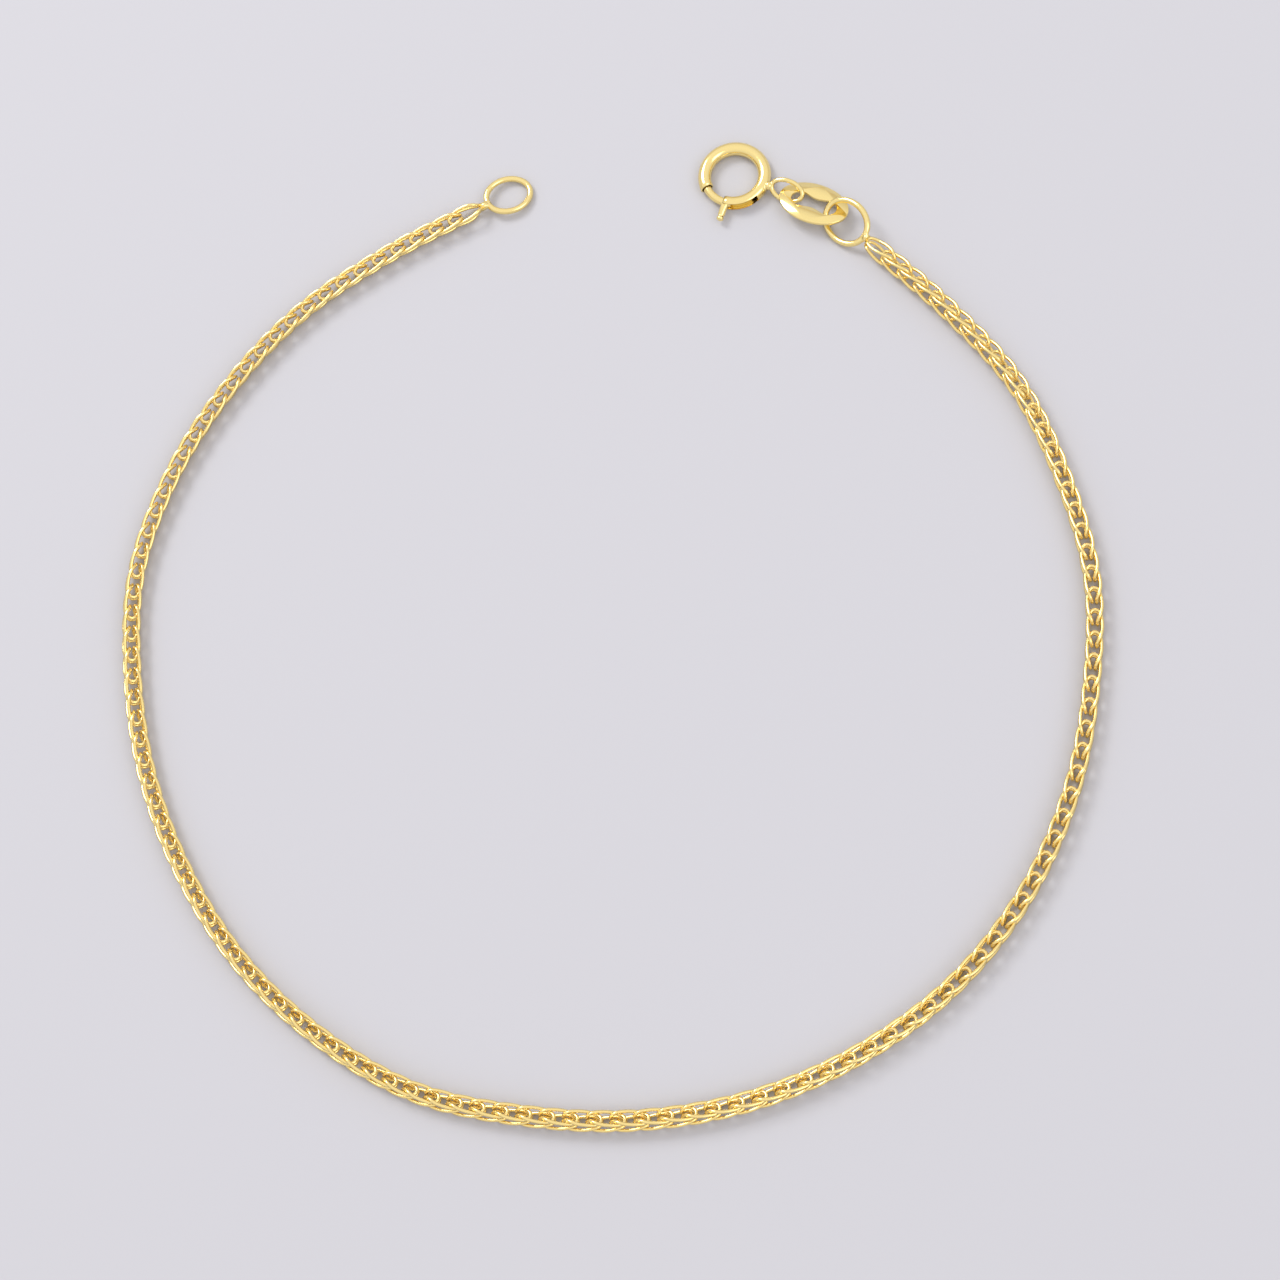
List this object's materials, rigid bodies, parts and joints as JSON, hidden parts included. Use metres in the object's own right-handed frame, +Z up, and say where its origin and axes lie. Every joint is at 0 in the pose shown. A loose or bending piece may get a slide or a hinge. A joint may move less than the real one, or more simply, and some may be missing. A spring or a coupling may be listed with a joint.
{
  "type": "franco chain bracelet",
  "caption": "Fine yellow gold franco chain bracelet lying open in a round loop, with oval end rings, a flat slotted tag and a spring ring clasp.",
  "frame": {"origin": "on the surface it lies on, below the middle of its overall box", "axes": "+Z up from the surface, +Y from the wearer's loop toward the clasp, +X to the right seen from above"},
  "size_m": [0.0646, 0.067, 0.0018],
  "materials": {
    "yellow_gold": "polished"
  },
  "bodies": {
    "bracelet": {"chain": "yellow_gold", "end_ring": "yellow_gold", "tag_ring": "yellow_gold", "tag": "yellow_gold", "clasp_ring": "yellow_gold"},
    "trigger": {"trigger": "yellow_gold"}
  },
  "joints": [
    {"name": "trigger_slide", "type": "hinge", "parent": "bracelet", "child": "trigger", "pos_m": [0.00895, 0.031, 0.00045], "axis": [0, 0, 1], "range_deg": [0, 52], "stiffness_Nm_per_rad": 0.0015}
  ]
}
